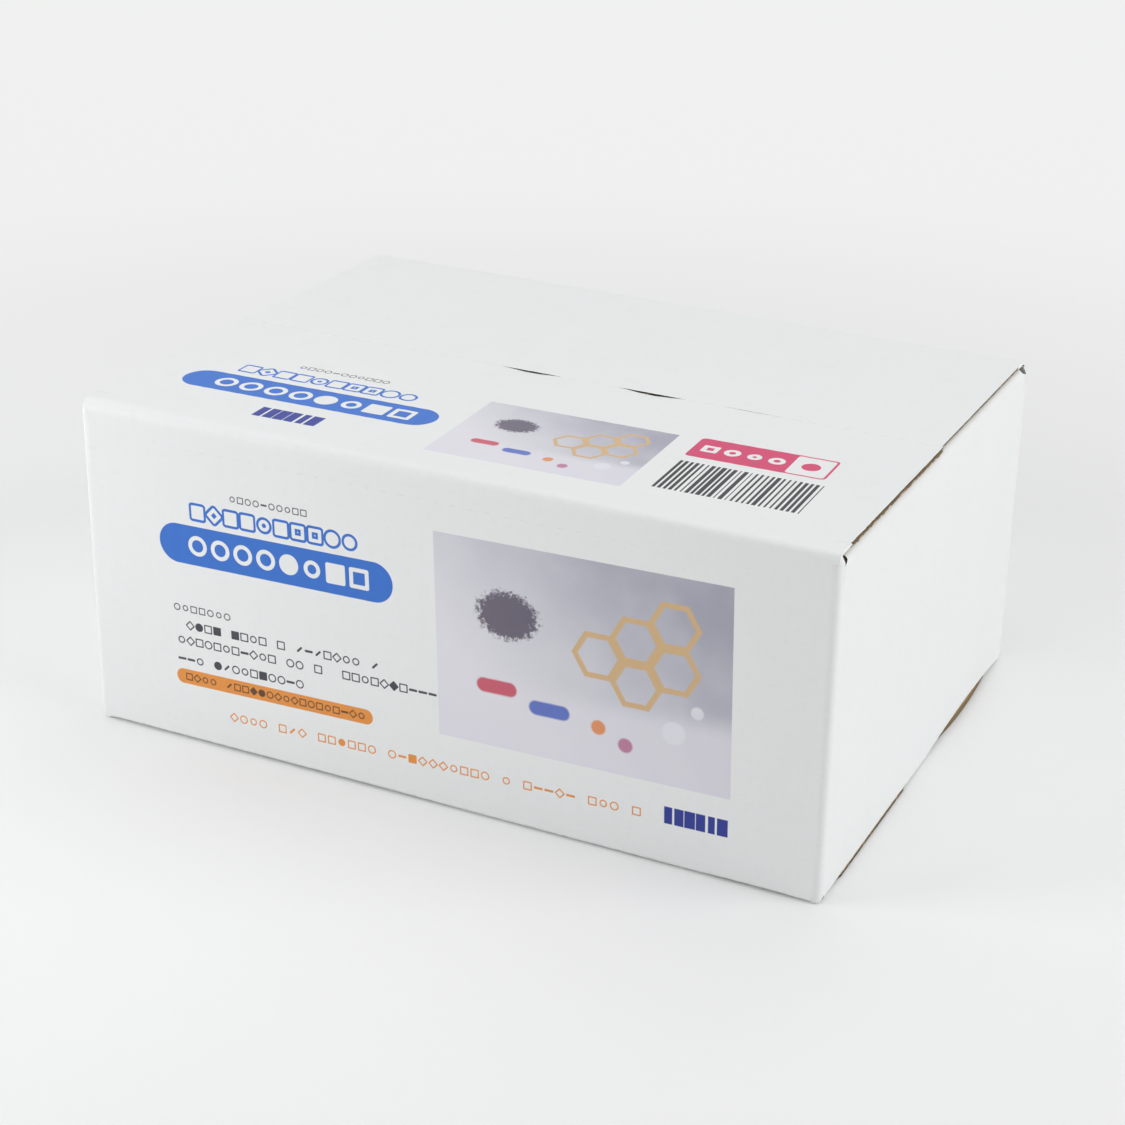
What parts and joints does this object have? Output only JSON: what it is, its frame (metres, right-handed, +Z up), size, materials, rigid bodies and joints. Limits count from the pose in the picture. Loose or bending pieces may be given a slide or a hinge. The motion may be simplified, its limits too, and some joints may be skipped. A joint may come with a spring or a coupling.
{
  "type": "chemistry set case",
  "caption": "White corrugated carton with four hinged top flaps, packed with a test-tube rack, glassware, rods, brush, dropper, indicator bottle and litmus packs.",
  "frame": {"origin": "middle of the carton's base, on the surface it stands on", "axes": "+X along the printed front towards its right end, -Y out of the printed front, +Z up"},
  "size_m": [0.258, 0.186, 0.114],
  "materials": {
    "white_board": "coated white face over flutes",
    "kraft_board": "uncoated kraft",
    "hot_melt_glue": "satin",
    "pale_wood": "sanded, bare",
    "peg_wood": "sanded, bare",
    "clear_glass": "polished",
    "red_spirit": "liquid",
    "steel_wire": "drawn",
    "dark_bristle": "matt",
    "milky_plastic": "translucent",
    "label_paper": "matt",
    "solution": "liquid",
    "orange_plastic": "gloss",
    "soft_seal": "matt",
    "red_card": "coated",
    "blue_card": "coated",
    "red_litmus": "matt",
    "blue_litmus": "matt",
    "leaflet_paper": "matt"
  },
  "bodies": {
    "carton": {"front_panel": "white_board", "rear_panel": "white_board", "left_panel": "white_board", "right_panel": "white_board", "joint_tab": "kraft_board", "joint_glue": "hot_melt_glue", "bottom_front_flap": "white_board", "bottom_rear_flap": "white_board", "bottom_left_flap": "kraft_board", "bottom_right_flap": "kraft_board", "bottom_glue": "hot_melt_glue", "rack_base": "pale_wood", "rack_shelf": "pale_wood", "rack_left_post": "pale_wood", "rack_right_post": "pale_wood", "rack_peg_1": "peg_wood", "rack_peg_2": "peg_wood", "rack_peg_3": "peg_wood", "rack_peg_4": "peg_wood", "rack_peg_5": "peg_wood", "rack_peg_6": "peg_wood", "test_tube_1": "clear_glass", "test_tube_2": "clear_glass", "test_tube_3": "clear_glass", "test_tube_4": "clear_glass", "test_tube_5": "clear_glass", "test_tube_6": "clear_glass", "beaker": "clear_glass", "thermometer": "clear_glass", "thermometer_column": "red_spirit", "stirring_rod": "clear_glass", "brush_wire": "steel_wire", "brush_bristles": "dark_bristle", "dropper": "milky_plastic", "bottle": "milky_plastic", "bottle_label": "label_paper", "indicator_solution": "solution", "bottle_nozzle": "milky_plastic", "red_litmus_cover": "red_card", "red_litmus_strips": "red_litmus", "blue_litmus_cover": "blue_card", "blue_litmus_strips": "blue_litmus", "instruction_leaflet": "leaflet_paper"},
    "front_flap": {"front_flap": "white_board"},
    "rear_flap": {"rear_flap": "white_board"},
    "left_flap": {"left_flap": "kraft_board"},
    "right_flap": {"right_flap": "kraft_board"},
    "cap_seal": {"cap_seal": "soft_seal"},
    "bottle_cap": {"bottle_cap": "orange_plastic"}
  },
  "joints": [
    {"name": "front_flap_fold", "type": "hinge", "parent": "carton", "child": "front_flap", "pos_m": [0, -0.093, 0.114], "axis": [1, 0, 0], "range_deg": [0, 255]},
    {"name": "rear_flap_fold", "type": "hinge", "parent": "carton", "child": "rear_flap", "pos_m": [0, 0.093, 0.114], "axis": [-1, 0, 0], "range_deg": [0, 255]},
    {"name": "left_flap_push", "type": "hinge", "parent": "carton", "child": "left_flap", "pos_m": [-0.1257, 0, 0.1077], "axis": [0, 1, 0], "range_deg": [0, 18]},
    {"name": "right_flap_push", "type": "hinge", "parent": "carton", "child": "right_flap", "pos_m": [0.1257, 0, 0.1077], "axis": [0, -1, 0], "range_deg": [0, 18]},
    {"name": "cap_lift", "type": "slide", "parent": "carton", "child": "cap_seal", "axis": [0, 0, 1], "range_m": [0, 0.00375]},
    {"name": "cap_turn", "type": "hinge", "parent": "cap_seal", "child": "bottle_cap", "pos_m": [0.106, -0.068, 0.0063], "axis": [0, 0, 1], "range_deg": [0, 540]}
  ],
  "couplings": [
    {"joint": "cap_lift", "follows": "cap_turn", "m_per_rad": 0.00039789}
  ]
}
